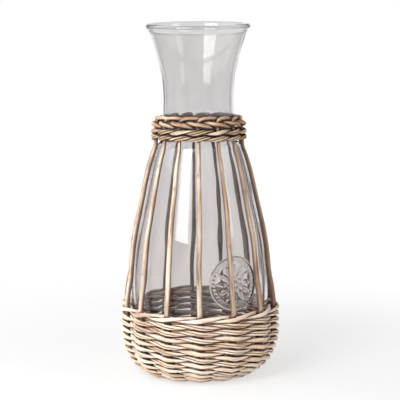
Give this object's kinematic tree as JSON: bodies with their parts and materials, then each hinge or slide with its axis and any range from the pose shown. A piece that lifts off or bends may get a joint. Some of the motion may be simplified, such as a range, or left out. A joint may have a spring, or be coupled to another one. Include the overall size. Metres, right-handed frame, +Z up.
{
  "type": "wicker carafe",
  "caption": "Clear glass carafe with a flared mouth, trapped in a woven willow basket whose stakes rise to a plaited collar.",
  "frame": {"origin": "centre of the round foot, on the surface it stands on", "axes": "+Z up along the glass's axis, -Y towards the front stake, which the picture shows nearest the camera"},
  "size_m": [0.1371, 0.1388, 0.3009],
  "materials": {
    "clear_glass": "clear, slightly wavy",
    "willow_rod": "bare, matt",
    "willow_weaver": "bare, matt",
    "willow_collar": "bare, matt"
  },
  "bodies": {
    "root": {"glass_carafe": "clear_glass", "stake_rod_front_back_1": "willow_rod", "stake_rod_front_back_2": "willow_rod", "stake_rod_front_back_3": "willow_rod", "stake_rod_side_to_side_1": "willow_rod", "stake_rod_side_to_side_2": "willow_rod", "stake_rod_side_to_side_3": "willow_rod", "stake_rod_side_to_side_4": "willow_rod", "base_ring_1_a": "willow_weaver", "base_ring_1_b": "willow_weaver", "base_ring_2_a": "willow_weaver", "base_ring_2_b": "willow_weaver", "foot_ring_a": "willow_weaver", "foot_ring_b": "willow_weaver", "side_row_01_a": "willow_weaver", "side_row_01_b": "willow_weaver", "side_row_02_a": "willow_weaver", "side_row_02_b": "willow_weaver", "side_row_03_a": "willow_weaver", "side_row_03_b": "willow_weaver", "side_row_04_a": "willow_weaver", "side_row_04_b": "willow_weaver", "side_row_05_a": "willow_weaver", "side_row_05_b": "willow_weaver", "side_row_06_a": "willow_weaver", "side_row_06_b": "willow_weaver", "side_row_07_a": "willow_weaver", "side_row_07_b": "willow_weaver", "side_row_08_a": "willow_weaver", "side_row_08_b": "willow_weaver", "side_row_09_a": "willow_weaver", "side_row_09_b": "willow_weaver", "side_row_10_a": "willow_weaver", "side_row_10_b": "willow_weaver", "side_row_11_a": "willow_weaver", "side_row_11_b": "willow_weaver", "side_row_12_a": "willow_weaver", "side_row_12_b": "willow_weaver", "collar_row_1_a": "willow_collar", "collar_row_1_b": "willow_collar", "collar_row_2_a": "willow_collar", "collar_row_2_b": "willow_collar"}
  },
  "joints": []
}
